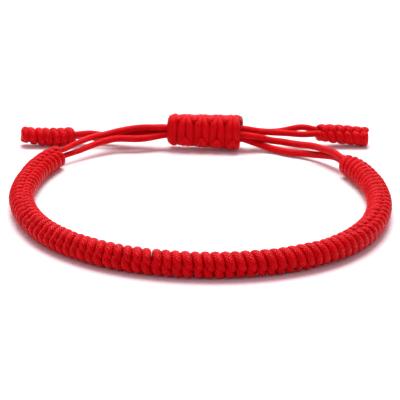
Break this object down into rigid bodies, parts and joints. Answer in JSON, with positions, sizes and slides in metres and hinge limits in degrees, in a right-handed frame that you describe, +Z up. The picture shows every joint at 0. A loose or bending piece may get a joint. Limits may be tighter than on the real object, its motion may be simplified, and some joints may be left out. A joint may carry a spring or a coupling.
{
  "type": "knotted cord bracelet",
  "caption": "Red knotted cord bracelet lying flat: a round braided band, tie cords through a sliding square knot, and a small stopper knot at each end.",
  "frame": {"origin": "on the table, under the middle of the box round the band and the sliding knot", "axes": "+Z up from the table, +Y towards the sliding knot at the back, +X to the right"},
  "size_m": [0.0718, 0.0706, 0.0072],
  "materials": {
    "red_cord": "fine braided polyester cord, soft sheen"
  },
  "bodies": {
    "root": {"knotted_band": "red_cord", "sliding_knot": "red_cord", "left_tie_upper": "red_cord", "left_tie_lower": "red_cord", "right_tie_upper": "red_cord", "right_tie_lower": "red_cord", "left_stopper_knot": "red_cord", "right_stopper_knot": "red_cord"}
  },
  "joints": []
}
